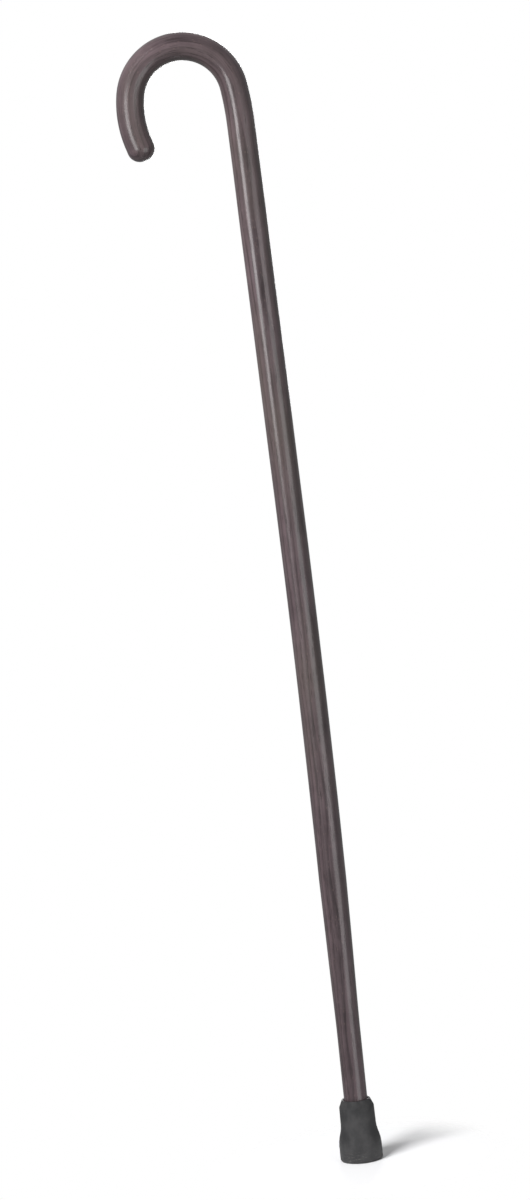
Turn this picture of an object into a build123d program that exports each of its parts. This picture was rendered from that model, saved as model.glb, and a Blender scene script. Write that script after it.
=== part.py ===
from build123d import *
import os
from math import cos, radians, sin

# Crook-handled walking cane in millimetres: one steam-bent wooden stick that
# stands in a replaceable rubber tip. +Z is up along the lower shaft, the origin
# is the middle of the tip's sole, and the crook lies in the XZ plane with its
# nose pointing along -X.

# Driving dimensions
overall_height = 914.4      # 36 in, from the sole to the top of the crook
stick_diameter = 22.2       # 7/8 in, through the crook and the upper shaft
foot_diameter = 19.05       # 3/4 in, where the tip grips the shaft

# Shaft: a straight taper, a slight bow towards the nose, then a straight grip
taper_bottom_height = 110.0
taper_top_height = 230.0
bow_length = 320.0
bow_angle = 1.25
foot_chamfer = 1.0

# Crook: an easy shoulder, the hand bend, and a nose that opens out slowly
shoulder_radius = 250.0
shoulder_angle = 7.0
hand_bend_radius = 41.5
hand_bend_angle = 162.0
tail_radius = 80.0
tail_angle = 27.0
nose_length = 15.0
nose_rounding = 10.0

# Rubber tip: a sleeve over the foot of the shaft that flares to the sole
tip_height = 50.0
mouth_radius = 11.4
neck_radius = 14.1
waist_radius = 14.4
base_radius = 17.3
mouth_bevel_height = 6.0
waist_height = 26.0
base_height = 16.0
waist_blend = 25.0
base_blend = 30.0
sole_edge_chamfer = 1.2
sole_thickness = 8.0
socket_clearance = 0.05
mouth_lead_in = 0.8

# Tread: concentric grooves around a flat middle land
tread_depth = 1.6
groove_width = 1.4
groove_pitch = 3.0
first_groove_radius = 5.6
groove_count = 4

# Steel washer that keeps the end of the wood from cutting through the sole
washer_thickness = 1.5
washer_radius = 9.3
washer_hole_radius = 3.0

# Worked out from the driving dimensions
stick_radius = stick_diameter / 2
foot_radius = foot_diameter / 2
foot_end_height = sole_thickness + washer_thickness
socket_radius = foot_radius + socket_clearance
bow_radius = bow_length / radians(bow_angle)
shoulder_end_angle = bow_angle + shoulder_angle

# The straight upper shaft is as long as the overall height leaves it
bow_rise = bow_radius * sin(radians(bow_angle))
shoulder_rise = shoulder_radius * (sin(radians(shoulder_end_angle)) - sin(radians(bow_angle)))
hand_bend_rise = hand_bend_radius * (1 - sin(radians(shoulder_end_angle)))
bent_rise = bow_rise + shoulder_rise + hand_bend_rise
upper_rise = overall_height - stick_radius - taper_top_height - bent_rise
upper_length = upper_rise / cos(radians(bow_angle))

os.makedirs("parts", exist_ok=True)

# Wooden stick: crook and shaft are one piece of bent wood
with BuildPart() as wooden_stick:
    # Lower shaft: a plug for the tip's socket below a long taper
    with BuildSketch(Plane.XZ):
        with BuildLine():
            Polyline(
                (0, foot_end_height),
                (foot_radius - foot_chamfer, foot_end_height),
                (foot_radius, foot_end_height + foot_chamfer),
                (foot_radius, taper_bottom_height),
                (stick_radius, taper_top_height),
                (0, taper_top_height),
                close=True,
            )
        make_face()
    revolve(axis=Axis.Z)
    # Upper shaft and crook: one round section carried along the bent centreline
    with BuildLine(Plane.XZ) as centreline:
        bow = JernArc((0, taper_top_height), (0, 1), bow_radius, bow_angle)
        grip = PolarLine(bow @ 1, upper_length, direction=bow % 1)
        shoulder = JernArc(grip @ 1, grip % 1, shoulder_radius, shoulder_angle)
        hand_bend = JernArc(shoulder @ 1, shoulder % 1, hand_bend_radius, hand_bend_angle)
        tail = JernArc(hand_bend @ 1, hand_bend % 1, tail_radius, tail_angle)
        nose = PolarLine(tail @ 1, nose_length, direction=tail % 1)
    with BuildSketch(Plane.XY.offset(taper_top_height)):
        Circle(stick_radius)
    sweep(path=centreline.wire())
    # Rounded nose
    nose_face = faces().sort_by_distance(nose @ 1)[0]
    fillet(nose_face.edges(), nose_rounding)

wooden_stick.part.label = "wooden_stick"
export_step(wooden_stick.part, "parts/wooden_stick.step")

# Rubber tip: turned outside, socket for the shaft, ringed tread underneath
with BuildPart() as rubber_tip:
    with BuildSketch(Plane.XZ):
        with BuildLine():
            Polyline(
                (0, 0),
                (base_radius - sole_edge_chamfer, 0),
                (base_radius, sole_edge_chamfer),
                (base_radius, base_height),
                (waist_radius, waist_height),
                (neck_radius, tip_height - mouth_bevel_height),
                (mouth_radius, tip_height),
                (0, tip_height),
                close=True,
            )
        make_face()
        for corner, blend in (
            ((base_radius, base_height), base_blend),
            ((waist_radius, waist_height), waist_blend),
        ):
            fillet(vertices().sort_by_distance(corner)[0], blend)
    revolve(axis=Axis.Z)
    # Socket
    with BuildSketch(Plane.XY.offset(sole_thickness)):
        Circle(socket_radius)
    extrude(amount=tip_height - sole_thickness, mode=Mode.SUBTRACT)
    mouth_rim = edges().filter_by(GeomType.CIRCLE).group_by(Axis.Z)[-1].sort_by(SortBy.RADIUS)[0]
    chamfer(mouth_rim, mouth_lead_in)
    # Tread
    with BuildSketch(Plane.XY):
        for ring in reversed(range(groove_count)):
            groove_radius = first_groove_radius + ring * groove_pitch
            Circle(groove_radius + groove_width / 2)
            Circle(groove_radius - groove_width / 2, mode=Mode.SUBTRACT)
    extrude(amount=tread_depth, mode=Mode.SUBTRACT)

rubber_tip.part.label = "rubber_tip"
export_step(rubber_tip.part, "parts/rubber_tip.step")

# Washer on the socket's floor
with BuildPart() as tip_washer:
    with BuildSketch(Plane.XY.offset(sole_thickness)):
        Circle(washer_radius)
        Circle(washer_hole_radius, mode=Mode.SUBTRACT)
    extrude(amount=washer_thickness)

tip_washer.part.label = "tip_washer"
export_step(tip_washer.part, "parts/tip_washer.step")
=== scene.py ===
"""Looks of the crook-handled walking cane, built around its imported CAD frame."""

import math

import bpy
import numpy as np
from mathutils import Matrix, Vector, noise


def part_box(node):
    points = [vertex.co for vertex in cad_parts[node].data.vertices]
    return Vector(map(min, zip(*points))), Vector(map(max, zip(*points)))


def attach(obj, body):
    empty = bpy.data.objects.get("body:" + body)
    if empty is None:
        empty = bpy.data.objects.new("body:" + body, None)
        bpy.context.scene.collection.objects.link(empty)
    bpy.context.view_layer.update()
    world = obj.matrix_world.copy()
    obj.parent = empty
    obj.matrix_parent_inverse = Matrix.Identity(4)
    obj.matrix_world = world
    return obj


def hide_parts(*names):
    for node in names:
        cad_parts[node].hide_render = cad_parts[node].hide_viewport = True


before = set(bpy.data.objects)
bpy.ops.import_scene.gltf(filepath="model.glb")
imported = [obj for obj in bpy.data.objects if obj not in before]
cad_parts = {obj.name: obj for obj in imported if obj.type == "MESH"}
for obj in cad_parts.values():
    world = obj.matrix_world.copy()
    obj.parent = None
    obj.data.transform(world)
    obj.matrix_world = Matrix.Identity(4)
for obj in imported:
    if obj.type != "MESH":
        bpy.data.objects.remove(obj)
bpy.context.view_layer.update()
MM = 0.001

# ---------------------------------------------------------------------------
# Sizes, in metres. Heights and radii that the frame holds come from the frame.
# ---------------------------------------------------------------------------
STICK_LOW, STICK_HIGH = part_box("wooden_stick")
_, TIP_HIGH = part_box("rubber_tip")
WASHER_LOW, WASHER_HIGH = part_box("tip_washer")

STICK_RADIUS = STICK_HIGH.y
FOOT_RADIUS = 9.525 * MM
FOOT_END = STICK_LOW.z
FOOT_CHAMFER = 1.0 * MM
TAPER_BOTTOM = 110 * MM
TAPER_TOP = 230 * MM
NOSE_ROUNDING = 10 * MM

# The centreline above the taper, as (radius of the bend, turn in radians)
BOW = (320 * MM / math.radians(1.25), math.radians(1.25))
SHOULDER = (250 * MM, math.radians(7))
HAND_BEND = (41.5 * MM, math.radians(162))
TAIL = (80 * MM, math.radians(27))
NOSE_LENGTH = 15 * MM

# Sanded wood is never perfectly round: how far the stick strays, and over what length
UNEVENNESS = 0.12 * MM
UNEVEN_LENGTH = 0.06

# Rubber tip, from the sole up
TIP_HEIGHT = TIP_HIGH.z
TIP_BASE_RADIUS = TIP_HIGH.x
SOLE_EDGE = 1.2 * MM
SOLE_EDGE_BLEND = 0.8 * MM
BASE_HEIGHT = 16 * MM
BASE_BLEND = 30 * MM
WAIST_RADIUS = 14.4 * MM
WAIST_HEIGHT = 26 * MM
WAIST_BLEND = 25 * MM
NECK_RADIUS = 14.1 * MM
NECK_BLEND = 3 * MM
MOUTH_BEVEL_HEIGHT = 6 * MM
MOUTH_RADIUS = 11.4 * MM
MOUTH_LEAD_IN = 0.8 * MM
SOCKET_CLEARANCE = 0.05 * MM
SOCKET_RADIUS = FOOT_RADIUS + SOCKET_CLEARANCE
SOLE_THICKNESS = WASHER_LOW.z
WASHER_HOLE_RADIUS = 3 * MM

# Tread: the first groove's radius and the pitch of the others are in millimetres
TREAD_DEPTH = 1.6 * MM
GROOVE_WIDTH = 1.4 * MM
GROOVE_RADII = [(5.6 + 3.0 * ring) * MM for ring in range(4)]

# Colours, in linear RGB
STAIN_DARK = (0.020, 0.013, 0.015)
STAIN_LIGHT = (0.119, 0.084, 0.093)
STAIN_PATCH = (0.089, 0.071, 0.061)
STAIN_FLECK = (0.150, 0.100, 0.088)
STAIN_PORE = (0.016, 0.009, 0.009)
BARE_DARK = (0.20, 0.105, 0.055)
BARE_LIGHT = (0.42, 0.26, 0.15)
BARE_PORE = (0.07, 0.035, 0.02)
RUBBER_BLACK = (0.022, 0.022, 0.023)
RUBBER_BLOOM = (0.044, 0.043, 0.044)
RUBBER_SCUFF = (0.13, 0.125, 0.12)
SOLE_DUST = (0.16, 0.15, 0.135)
ZINC = (0.56, 0.56, 0.57)
ZINC_TARNISH = (0.30, 0.25, 0.20)
FLOOR_PAPER = (0.79, 0.79, 0.80)


# ---------------------------------------------------------------------------
# Centreline of the stick: straight runs and bends that meet smoothly
# ---------------------------------------------------------------------------
def centreline_spans():
    """The stick from foot to nose as (length, turn) pairs, with the grip filling the height."""
    bow_end = BOW[1]
    shoulder_end = bow_end + SHOULDER[1]
    rise = BOW[0] * math.sin(bow_end)
    rise += SHOULDER[0] * (math.sin(shoulder_end) - math.sin(bow_end))
    rise += HAND_BEND[0] * (1 - math.sin(shoulder_end))
    grip = (STICK_HIGH.z - STICK_RADIUS - TAPER_TOP - rise) / math.cos(bow_end)
    bends = [(radius * turn, turn) for radius, turn in (BOW, SHOULDER, HAND_BEND, TAIL)]
    return [(TAPER_TOP - FOOT_END, 0.0), bends[0], (grip, 0.0), *bends[1:], (NOSE_LENGTH, 0.0)]


SPANS = centreline_spans()
STICK_LENGTH = sum(length for length, turn in SPANS)


def on_centreline(distance):
    """Point and lean of the centreline at a distance from the foot; it leans from +Z to -X."""
    x, z, lean = 0.0, FOOT_END, 0.0
    for length, turn in SPANS:
        step = min(distance, length)
        if turn:
            radius, part = length / turn, turn * step / length
            x -= radius * (math.cos(lean) - math.cos(lean + part))
            z += radius * (math.sin(lean + part) - math.sin(lean))
            lean += part
        else:
            x -= step * math.sin(lean)
            z += step * math.cos(lean)
        distance -= step
        if distance <= 0:
            break
    return Vector((x, 0, z)), lean


def stick_radius(distance):
    """Radius of the stick at a distance from the foot: chamfer, foot, taper, shaft, nose."""
    height = FOOT_END + distance
    if distance < FOOT_CHAMFER:
        return FOOT_RADIUS - FOOT_CHAMFER + distance
    if height < TAPER_BOTTOM:
        return FOOT_RADIUS
    if height < TAPER_TOP:
        share = (height - TAPER_BOTTOM) / (TAPER_TOP - TAPER_BOTTOM)
        return FOOT_RADIUS + share * (STICK_RADIUS - FOOT_RADIUS)
    to_end = STICK_LENGTH - distance
    if to_end < NOSE_ROUNDING:
        inset = NOSE_ROUNDING - math.sqrt(NOSE_ROUNDING**2 - (NOSE_ROUNDING - to_end) ** 2)
        return STICK_RADIUS - inset
    return STICK_RADIUS


# ---------------------------------------------------------------------------
# Mesh helpers
# ---------------------------------------------------------------------------
def new_object(name, vertices, faces):
    mesh = bpy.data.meshes.new(name)
    mesh.from_pydata(vertices, [], faces)
    mesh.shade_smooth()
    piece = bpy.data.objects.new(name, mesh)
    bpy.context.scene.collection.objects.link(piece)
    return piece


def ring_faces(rings, segments, closed=False):
    """Quads between neighbouring rings of vertices; closed joins the last ring to the first."""
    faces = []
    for ring in range(rings if closed else rings - 1):
        low, high = ring * segments, (ring + 1) % rings * segments
        for k in range(segments):
            after = (k + 1) % segments
            faces.append((low + k, low + after, high + after, high + k))
    return faces


def rounded_outline(corners, arc_step=math.radians(9)):
    """Points through (radius, height, blend) corners, with each blend a tangent arc."""
    points = []
    for k, (x, y, blend) in enumerate(corners):
        corner = Vector((x, y))
        if not blend:
            points.append(corner)
            continue
        before = (Vector(corners[k - 1][:2]) - corner).normalized()
        after = (Vector(corners[(k + 1) % len(corners)][:2]) - corner).normalized()
        half = before.angle(after) / 2
        setback = blend / math.tan(half)
        centre = corner + (before + after).normalized() * blend / math.sin(half)
        start = corner + before * setback - centre
        turn = start.angle_signed(corner + after * setback - centre)
        steps = max(2, math.ceil(abs(turn) / arc_step))
        for step in range(steps + 1):
            points.append(centre + Matrix.Rotation(-turn * step / steps, 2) @ start)
    return points


def refined(points, longest):
    """The same outline with long straight runs cut into shorter ones."""
    fine = [points[0]]
    for end in points[1:]:
        start = fine[-1]
        cuts = max(1, math.ceil((end - start).length / longest))
        fine += [start.lerp(end, (cut + 1) / cuts) for cut in range(cuts)]
    return fine


def lathe(name, outline, segments, ridge=None):
    """Turns an outline of (radius, height) points round Z.

    ridge(angle, radius, height) gives what is added to a point's radius.
    """
    vertices = []
    for radius, height in outline:
        for k in range(segments):
            angle = 2 * math.pi * k / segments
            reach = radius + (ridge(angle, radius, height) if ridge else 0)
            vertices.append((reach * math.cos(angle), reach * math.sin(angle), height))
    return new_object(name, vertices, ring_faces(len(outline), segments, closed=True))


# ---------------------------------------------------------------------------
# Node helpers
# ---------------------------------------------------------------------------
class Shader:
    """A material with one Principled shader, and short calls for the nodes that feed it."""

    def __init__(self, name, **plain):
        self.material = bpy.data.materials.new(name)
        self.material.use_nodes = True
        self.tree = self.material.node_tree
        self.tree.nodes.clear()
        self.surface = self.add("ShaderNodeBsdfPrincipled", **plain)
        output = self.add("ShaderNodeOutputMaterial")
        self.tree.links.new(self.surface.outputs[0], output.inputs["Surface"])

    def add(self, kind, **inputs):
        """A node with its inputs set by name: sockets are linked, anything else is a value."""
        node = self.tree.nodes.new(kind)
        for name, value in inputs.items():
            self.feed(node.inputs[name.replace("_", " ")], value)
        return node

    def feed(self, socket, value):
        if isinstance(value, bpy.types.NodeSocket):
            self.tree.links.new(value, socket)
        else:
            socket.default_value = value

    def place(self, attribute):
        """Coordinates that the mesh carries in a vector attribute."""
        node = self.add("ShaderNodeAttribute")
        node.attribute_name = attribute
        return node.outputs["Vector"]

    def maths(self, operation, first, second=0.0, third=0.0, clamp=False):
        node = self.tree.nodes.new("ShaderNodeMath")
        node.operation = operation
        node.use_clamp = clamp
        for socket, value in zip(node.inputs, (first, second, third)):
            self.feed(socket, value)
        return node.outputs[0]

    def vector_maths(self, operation, first, second=(0, 0, 0)):
        node = self.tree.nodes.new("ShaderNodeVectorMath")
        node.operation = operation
        self.feed(node.inputs[0], first)
        self.feed(node.inputs[1], second)
        return node.outputs["Value" if operation == "LENGTH" else "Vector"]

    def noise(self, place, stretch, detail=3.0, roughness=0.5, colour=False):
        """Noise of about stretch waves a metre along each axis of place."""
        scaled = self.vector_maths("MULTIPLY", place, stretch)
        node = self.add("ShaderNodeTexNoise", Vector=scaled, Scale=1.0, Detail=detail)
        node.inputs["Roughness"].default_value = roughness
        return node.outputs["Color" if colour else "Fac"]

    def cells(self, place, stretch):
        """Distance to the nearest of scattered points, stretch of them a metre along each axis."""
        scaled = self.vector_maths("MULTIPLY", place, stretch)
        return self.add("ShaderNodeTexVoronoi", Vector=scaled, Scale=1.0).outputs["Distance"]

    def band(self, value, low, high, to_low=0.0, to_high=1.0):
        """value between low and high, spread smoothly from to_low to to_high."""
        node = self.tree.nodes.new("ShaderNodeMapRange")
        node.interpolation_type = "SMOOTHSTEP"
        names = ("Value", "From Min", "From Max", "To Min", "To Max")
        for name, number in zip(names, (value, low, high, to_low, to_high)):
            self.feed(node.inputs[name], number)
        return node.outputs["Result"]

    def mix(self, share, first, second):
        """The second colour laid over the first by share, from 0 to 1."""
        node = self.tree.nodes.new("ShaderNodeMix")
        node.data_type = "RGBA"
        self.feed(node.inputs["Factor"], share)
        for socket, value in ((node.inputs[6], first), (node.inputs[7], second)):
            self.feed(socket, (*value, 1.0) if isinstance(value, tuple) else value)
        return node.outputs[2]

    def bump(self, height, depth):
        """A surface normal raised by height times depth, in metres."""
        node = self.add("ShaderNodeBump", Height=height, Distance=depth)
        node.inputs["Strength"].default_value = 1.0
        return node.outputs["Normal"]


# ---------------------------------------------------------------------------
# Materials
# ---------------------------------------------------------------------------
def stained_wood():
    """Dark walnut-stained hardwood under gloss lacquer; its grain follows the bend of the stick.

    The mesh's "grain" attribute holds each point's place in the straight blank that the stick
    was bent from: across the bend, square to the bend, and along the wood.
    """
    wood = Shader(
        "stained_wood",
        IOR=1.5,
        Specular_IOR_Level=0.4,
        Coat_Weight=0.85,
        Coat_IOR=1.5,
    )
    blank = wood.place("grain")
    along = wood.add("ShaderNodeSeparateXYZ", Vector=blank).outputs["Z"]

    # The growth rings are centred outside the blank and wander slowly along it
    ring_spacing = 3.1 * MM
    blank_from_pith = (0.021, -0.034, 0)
    sway = wood.noise(blank, (18, 18, 5), detail=2, colour=True)
    sway = wood.vector_maths("SUBTRACT", sway, (0.5, 0.5, 0.5))
    sway = wood.vector_maths("MULTIPLY", sway, (0.016, 0.016, 0))
    pith = wood.vector_maths("ADD", blank, blank_from_pith)
    pith = wood.vector_maths("MULTIPLY", wood.vector_maths("ADD", pith, sway), (1, 1, 0))
    ring = wood.maths("MULTIPLY", wood.vector_maths("LENGTH", pith), 1 / ring_spacing)
    ring = wood.maths("ADD", ring, wood.noise(blank, (60, 60, 2.5), detail=1))
    ring = wood.maths("FRACT", ring)
    latewood = wood.band(ring, 0.35, 0.9)
    latewood = wood.maths("MULTIPLY", latewood, wood.band(ring, 1.0, 0.93))

    # Fibres, and the pores that show as short dark dashes
    fibre = wood.noise(blank, (650, 650, 9), detail=4, roughness=0.6)
    streak = wood.noise(blank, (190, 190, 3.5), detail=3, roughness=0.55)
    pore = wood.band(wood.cells(blank, (1150, 1150, 62)), 0.34, 0.16)
    pore = wood.maths("MULTIPLY", pore, wood.band(wood.noise(blank, (260, 260, 22)), 0.42, 0.58))
    fleck = wood.band(wood.cells(blank, (420, 1500, 210)), 0.24, 0.12)

    # Stain: brown with a plum cast, darker in late wood and pores, and patchy over long runs
    patch = wood.noise(blank, (22, 22, 6), detail=2)
    mottle = wood.noise(blank, (75, 75, 38), detail=3, roughness=0.6)
    tone = wood.maths("MULTIPLY_ADD", streak, 0.95, 0.05)
    tone = wood.maths("MULTIPLY_ADD", fibre, 0.55, wood.maths("SUBTRACT", tone, 0.27))
    tone = wood.maths("SUBTRACT", tone, wood.maths("MULTIPLY", latewood, 0.3), clamp=True)
    tone = wood.maths("MULTIPLY_ADD", mottle, 0.9, wood.maths("SUBTRACT", tone, 0.45), clamp=True)
    colour = wood.mix(tone, STAIN_DARK, STAIN_LIGHT)
    colour = wood.mix(wood.band(patch, 0.45, 0.7, 0.0, 0.5), colour, STAIN_PATCH)
    colour = wood.mix(wood.maths("MULTIPLY", fleck, 0.3), colour, STAIN_FLECK)
    colour = wood.mix(wood.maths("MULTIPLY", pore, 0.75), colour, STAIN_PORE)

    # The foot was cut after finishing, so its end is bare wood
    bare = wood.band(along, 0.9 * MM, 0.5 * MM)
    bare_colour = wood.mix(streak, BARE_DARK, BARE_LIGHT)
    bare_colour = wood.mix(wood.maths("MULTIPLY", pore, 0.8), bare_colour, BARE_PORE)
    colour = wood.mix(bare, colour, bare_colour)
    wood.feed(wood.surface.inputs["Base Color"], colour)

    # Lacquer: glossy, a little duller where hands rub it and in the tip's socket
    smudge = wood.noise(blank, (45, 45, 16), detail=4, roughness=0.6)
    tip_mouth = TIP_HEIGHT - FOOT_END
    socket_rub = wood.band(along, tip_mouth + 1.5 * MM, tip_mouth - 1 * MM)
    under = wood.maths("MULTIPLY_ADD", smudge, 0.16, 0.30)
    under = wood.maths("MAXIMUM", under, wood.maths("MULTIPLY", bare, 0.85))
    wood.feed(wood.surface.inputs["Roughness"], under)
    gloss = wood.band(smudge, 0.4, 0.7, 0.17, 0.27)
    gloss = wood.maths("MULTIPLY_ADD", socket_rub, 0.3, gloss)
    gloss = wood.maths("MAXIMUM", gloss, bare)
    wood.feed(wood.surface.inputs["Coat Roughness"], gloss)

    relief = wood.maths("MULTIPLY_ADD", fibre, 0.35, wood.maths("MULTIPLY", latewood, -0.25))
    relief = wood.maths("SUBTRACT", relief, wood.maths("MULTIPLY", pore, 0.9))
    wood.feed(wood.surface.inputs["Normal"], wood.bump(relief, 0.09 * MM))
    ripple = wood.noise(blank, (120, 120, 45), detail=2)
    skin = wood.maths("MULTIPLY", ripple, 0.6)
    skin = wood.maths("SUBTRACT", skin, wood.maths("MULTIPLY", pore, 0.25))
    wood.feed(wood.surface.inputs["Coat Normal"], wood.bump(skin, 0.06 * MM))
    return wood.material


def black_rubber():
    """Moulded black rubber: matte with a faint grey bloom, scuffed low down, dusty underneath."""
    rubber = Shader("black_rubber", IOR=1.5, Specular_IOR_Level=0.42)
    place = rubber.add("ShaderNodeTexCoord").outputs["Object"]
    height = rubber.add("ShaderNodeSeparateXYZ", Vector=place).outputs["Z"]

    bloom = rubber.noise(place, (90, 90, 60), detail=4, roughness=0.6)
    grit = rubber.noise(place, (1400, 1400, 1400), detail=3, roughness=0.6)
    colour = rubber.mix(rubber.band(bloom, 0.35, 0.72), RUBBER_BLACK, RUBBER_BLOOM)
    scuff = rubber.noise(place, (240, 240, 900), detail=4, roughness=0.7)
    foot = rubber.band(height, 14 * MM, 2 * MM)
    scuff = rubber.maths("MULTIPLY", rubber.band(scuff, 0.52, 0.68), foot)
    colour = rubber.mix(rubber.maths("MULTIPLY", scuff, 0.55), colour, RUBBER_SCUFF)
    dust = rubber.band(rubber.noise(place, (500, 500, 500), detail=3), 0.4, 0.75)
    sole = rubber.band(height, 1.2 * MM, 0.2 * MM)
    dust = rubber.maths("MULTIPLY", rubber.maths("MULTIPLY", sole, dust), 0.6)
    colour = rubber.mix(dust, colour, SOLE_DUST)
    rubber.feed(rubber.surface.inputs["Base Color"], colour)

    dull = rubber.maths("MULTIPLY_ADD", bloom, 0.25, 0.42)
    dull = rubber.maths("MULTIPLY_ADD", scuff, 0.2, dull)
    rubber.feed(rubber.surface.inputs["Roughness"], dull)
    rough = rubber.maths("MULTIPLY_ADD", scuff, -0.8, grit)
    rubber.feed(rubber.surface.inputs["Normal"], rubber.bump(rough, 0.05 * MM))
    return rubber.material


def washer_steel():
    """Zinc-bright stamped steel, turned marks round the hole and dull patches of tarnish."""
    steel = Shader("washer_steel", Metallic=1.0)
    place = steel.add("ShaderNodeTexCoord").outputs["Object"]
    flat = steel.vector_maths("MULTIPLY", place, (1, 1, 0))
    radians_a_metre = 19000  # one turned mark every 0.33 mm
    turned = steel.maths("MULTIPLY", steel.vector_maths("LENGTH", flat), radians_a_metre)
    turned = steel.maths("SINE", turned)
    tarnish = steel.noise(place, (320, 320, 320), detail=4, roughness=0.65)
    spots = steel.band(tarnish, 0.48, 0.66)
    colour = steel.mix(spots, ZINC, ZINC_TARNISH)
    steel.feed(steel.surface.inputs["Base Color"], colour)
    steel.feed(steel.surface.inputs["Roughness"], steel.maths("MULTIPLY_ADD", spots, 0.3, 0.3))
    steel.feed(steel.surface.inputs["Normal"], steel.bump(turned, 0.004 * MM))
    return steel.material


# ---------------------------------------------------------------------------
# Pieces
# ---------------------------------------------------------------------------
def stick_stations():
    """Distances from the foot at which the stick gets a ring: close at the ends and the crook."""
    shaft_step, crook_step = 3 * MM, 1.4 * MM
    chamfer_rings, nose_rings = 4, 22
    crook_start = sum(length for length, turn in SPANS[:3])
    chamfer = np.linspace(0, FOOT_CHAMFER, chamfer_rings)
    shaft = np.arange(FOOT_CHAMFER + shaft_step / 2, crook_start, shaft_step)
    crook = np.arange(crook_start, STICK_LENGTH - NOSE_ROUNDING, crook_step)
    turn = np.linspace(0, math.pi / 2, nose_rings)
    nose = STICK_LENGTH - NOSE_ROUNDING * (1 - np.sin(turn))
    return np.concatenate((chamfer, shaft, crook, nose))


def make_stick(segments=96):
    """The bent stick: a slightly uneven tube along the centreline, closed at both ends."""
    vertices, blank = [], []

    def add_point(centre, lean, reach, angle, distance):
        side = Vector((math.cos(lean), 0, math.sin(lean)))
        across, square = reach * math.cos(angle), reach * math.sin(angle)
        vertices.append(centre + side * across + Vector((0, square, 0)))
        blank.append((across, square, distance))

    stations = stick_stations()
    for distance in stations:
        centre, lean = on_centreline(distance)
        radius = stick_radius(distance)
        for k in range(segments):
            angle = 2 * math.pi * k / segments
            waves = distance / UNEVEN_LENGTH
            place = Vector((math.cos(angle) * 0.5, math.sin(angle) * 0.5, waves))
            uneven = UNEVENNESS * noise.noise(place) * min(1, waves)
            add_point(centre, lean, radius + uneven * radius / STICK_RADIUS, angle, distance)
    faces = ring_faces(len(stations), segments)

    # The foot and the nose are closed by shrinking rings round a middle point
    last_ring = (len(stations) - 1) * segments
    for distance, ring_start, outward in ((0.0, 0, False), (STICK_LENGTH, last_ring, True)):
        centre, lean = on_centreline(distance)
        edge = stick_radius(distance)
        for share in (0.75, 0.5, 0.25):
            start = len(vertices)
            for k in range(segments):
                add_point(centre, lean, edge * share, 2 * math.pi * k / segments, distance)
            for k in range(segments):
                after = (k + 1) % segments
                quad = (ring_start + k, ring_start + after, start + after, start + k)
                faces.append(quad if outward else quad[::-1])
            ring_start = start
        add_point(centre, lean, 0, 0, distance)
        middle = len(vertices) - 1
        for k in range(segments):
            triangle = (ring_start + k, ring_start + (k + 1) % segments, middle)
            faces.append(triangle if outward else triangle[::-1])

    stick = new_object("bent_stick", vertices, faces)
    grain = stick.data.attributes.new("grain", "FLOAT_VECTOR", "POINT")
    grain.data.foreach_set("vector", np.array(blank, np.float32).ravel())
    stick.data.materials.append(stained_wood())
    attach(stick, "stick")
    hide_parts("wooden_stick")


def tip_outline():
    """Half section of the tip: ringed sole, flared foot, neck, bevelled mouth, socket."""
    edge, soft = 0.25 * MM, 0.4 * MM
    middle = 0.01 * MM
    corners = [(middle, 0, 0)]
    for radius in GROOVE_RADII:
        inner, outer = radius - GROOVE_WIDTH / 2, radius + GROOVE_WIDTH / 2
        corners += [(inner, 0, edge), (inner, TREAD_DEPTH, edge)]
        corners += [(outer, TREAD_DEPTH, edge), (outer, 0, edge)]
    corners += [
        (TIP_BASE_RADIUS - SOLE_EDGE, 0, soft),
        (TIP_BASE_RADIUS, SOLE_EDGE, SOLE_EDGE_BLEND),
        (TIP_BASE_RADIUS, BASE_HEIGHT, BASE_BLEND),
        (WAIST_RADIUS, WAIST_HEIGHT, WAIST_BLEND),
        (NECK_RADIUS, TIP_HEIGHT - MOUTH_BEVEL_HEIGHT, NECK_BLEND),
        (MOUTH_RADIUS, TIP_HEIGHT, soft),
        (SOCKET_RADIUS + MOUTH_LEAD_IN, TIP_HEIGHT, soft),
        (SOCKET_RADIUS, TIP_HEIGHT - MOUTH_LEAD_IN, soft),
        (SOCKET_RADIUS, SOLE_THICKNESS, edge),
        (middle, SOLE_THICKNESS, 0),
    ]
    return refined(rounded_outline(corners), longest=0.9 * MM)


def parting_line(angle, radius, height):
    """A thin raised line on two sides of the tip, where the halves of its mould met."""
    raised, half_width, facing = 0.14 * MM, 0.5 * MM, math.radians(20)
    outside = radius > SOCKET_RADIUS + 1 * MM and 1.5 * MM < height < TIP_HEIGHT - 1 * MM
    off_line = abs(math.sin(angle - facing)) * radius
    return raised * max(0, 1 - off_line / half_width) if outside else 0


def make_tip():
    tip = lathe("moulded_tip", tip_outline(), segments=180, ridge=parting_line)
    tip.data.materials.append(black_rubber())
    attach(tip, "tip")
    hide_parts("rubber_tip")


def make_washer():
    low, high = WASHER_LOW.z, WASHER_HIGH.z
    hole, rim = WASHER_HOLE_RADIUS, WASHER_HIGH.x
    burr, edge = 0.15 * MM, 0.3 * MM
    corners = [(hole, low, burr), (rim, low, burr), (rim, high, edge), (hole, high, edge)]
    outline = refined(rounded_outline(corners), longest=0.8 * MM)
    washer = lathe("stamped_washer", outline, segments=96)
    washer.data.materials.append(washer_steel())
    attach(washer, "tip")
    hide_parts("tip_washer")


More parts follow.
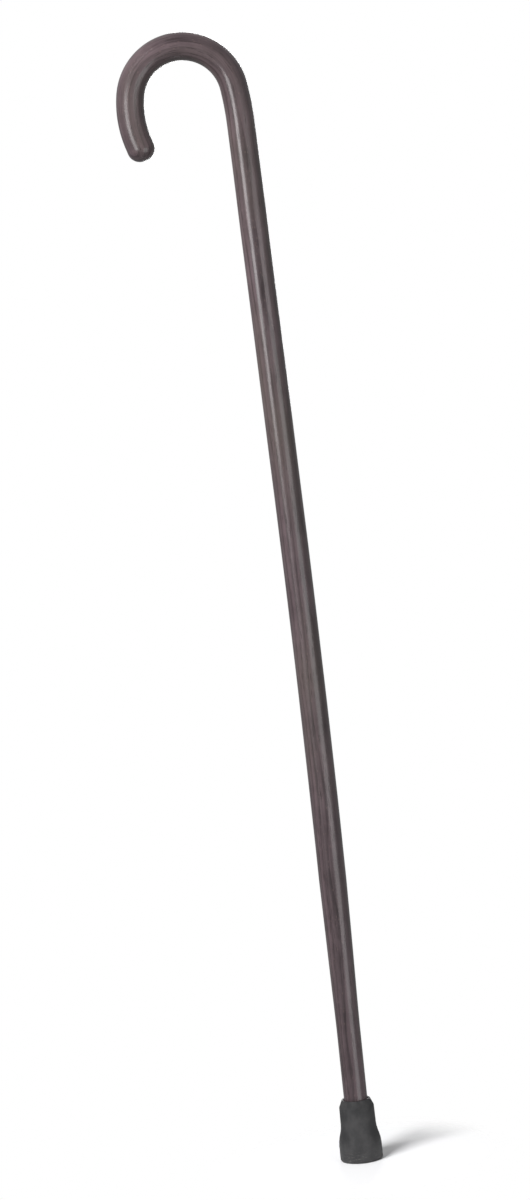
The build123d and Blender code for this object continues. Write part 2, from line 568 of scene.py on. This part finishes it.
# ---------------------------------------------------------------------------
# Stage: pale floor, soft lights, camera
# ---------------------------------------------------------------------------
def make_floor(radius=2.4):
    """A pale floor that shows as a patch round the tip and is clear everywhere else."""
    patch, clear = 0.07, 0.13
    vertices = [(0, 0, 0)]
    rings = (0.3, 0.8, 1.5, radius)
    segments = 64
    for reach in rings:
        for k in range(segments):
            angle = 2 * math.pi * k / segments
            vertices.append((reach * math.cos(angle), reach * math.sin(angle), 0))
    faces = [(0, 1 + k, 1 + (k + 1) % segments) for k in range(segments)]
    faces += [tuple(1 + v for v in face[::-1]) for face in ring_faces(len(rings), segments)]
    floor = new_object("studio_floor", vertices, faces)
    paper = Shader("floor_paper", Roughness=0.9, Specular_IOR_Level=0.1)
    paper.surface.inputs["Base Color"].default_value = (*FLOOR_PAPER, 1)
    place = paper.add("ShaderNodeTexCoord").outputs["Object"]
    reach = paper.vector_maths("LENGTH", place)
    paper.feed(paper.surface.inputs["Alpha"], paper.band(reach, patch, clear, 1.0, 0.0))
    floor.data.materials.append(paper.material)
    # The tip goes on standing on the floor when the stick is drawn out of it
    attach(floor, "tip")


def make_world(horizon=0.26, overhead=0.33, full_height=0.6):
    """White to the camera, but as a light a dim grey that is a little brighter overhead."""
    world = bpy.data.worlds.new("studio")
    world.use_nodes = True
    tree = world.node_tree
    tree.nodes.clear()
    place = tree.nodes.new("ShaderNodeTexCoord")
    height = tree.nodes.new("ShaderNodeSeparateXYZ")
    sky = tree.nodes.new("ShaderNodeMapRange")
    sky.inputs["From Max"].default_value = full_height
    sky.inputs["To Min"].default_value = horizon
    sky.inputs["To Max"].default_value = overhead
    path = tree.nodes.new("ShaderNodeLightPath")
    seen = tree.nodes.new("ShaderNodeMapRange")
    background = tree.nodes.new("ShaderNodeBackground")
    output = tree.nodes.new("ShaderNodeOutputWorld")
    for source, target in (
        (place.outputs["Generated"], height.inputs[0]),
        (height.outputs["Z"], sky.inputs["Value"]),
        (sky.outputs["Result"], seen.inputs["To Min"]),
        (path.outputs["Is Camera Ray"], seen.inputs["Value"]),
        (seen.outputs["Result"], background.inputs["Strength"]),
        (background.outputs[0], output.inputs["Surface"]),
    ):
        tree.links.new(source, target)
    background.inputs["Color"].default_value = (1, 1, 1, 1)
    bpy.context.scene.world = world


def make_softbox(name, place, target, width, height, watts, reflected=True):
    lamp = bpy.data.lights.new(name, "AREA")
    lamp.shape = "RECTANGLE"
    lamp.size, lamp.size_y = width, height
    lamp.energy = watts
    softbox = bpy.data.objects.new(name, lamp)
    softbox.location = place
    softbox.visible_glossy = reflected
    softbox.rotation_mode = "QUATERNION"
    softbox.rotation_quaternion = (Vector(target) - Vector(place)).to_track_quat("-Z", "Y")
    bpy.context.scene.collection.objects.link(softbox)


def make_camera(aim, distance, eye_height, view_height, roll):
    """A long lens square to the crook, rolled so that the upright cane leans as it was pictured."""
    data = bpy.data.cameras.new("camera")
    camera = bpy.data.objects.new("camera", data)
    eye = Vector((aim.x, -distance, eye_height))
    forward = (aim - eye).normalized()
    right = forward.cross(Vector((0, 0, 1))).normalized()
    level_up = right.cross(forward)
    up = level_up * math.cos(roll) + right * math.sin(roll)
    side = forward.cross(up)
    turned = Matrix((side, up, -forward)).transposed().to_4x4()
    camera.matrix_world = Matrix.Translation(eye) @ turned
    data.sensor_width = 36
    data.lens = data.sensor_width * (aim - eye).length / view_height
    data.clip_end = 100
    bpy.context.scene.collection.objects.link(camera)
    bpy.context.scene.camera = camera


make_stick()
make_tip()
make_washer()
make_floor()
make_world()
make_softbox("key", (-1.04, -1.08, 1.79), (0, 0, 0.20), 0.80, 0.80, watts=60, reflected=False)
make_softbox("strip", (-1.41, -1.94, 0.84), (0, 0, 0.60), 0.95, 0.80, watts=15)
make_softbox("fill", (1.30, -1.60, 0.15), (0, 0, 0.30), 1.30, 1.50, watts=11)
make_softbox("back", (0.15, 2.40, 1.10), (0, 0, 0.45), 0.50, 1.20, watts=15)
make_camera(
    aim=Vector((-0.0305, 0, 0.4608)),
    distance=2.8,
    eye_height=0.72,
    view_height=0.9587,
    roll=math.radians(6.05),
)
bpy.context.scene.view_settings.view_transform = "Standard"
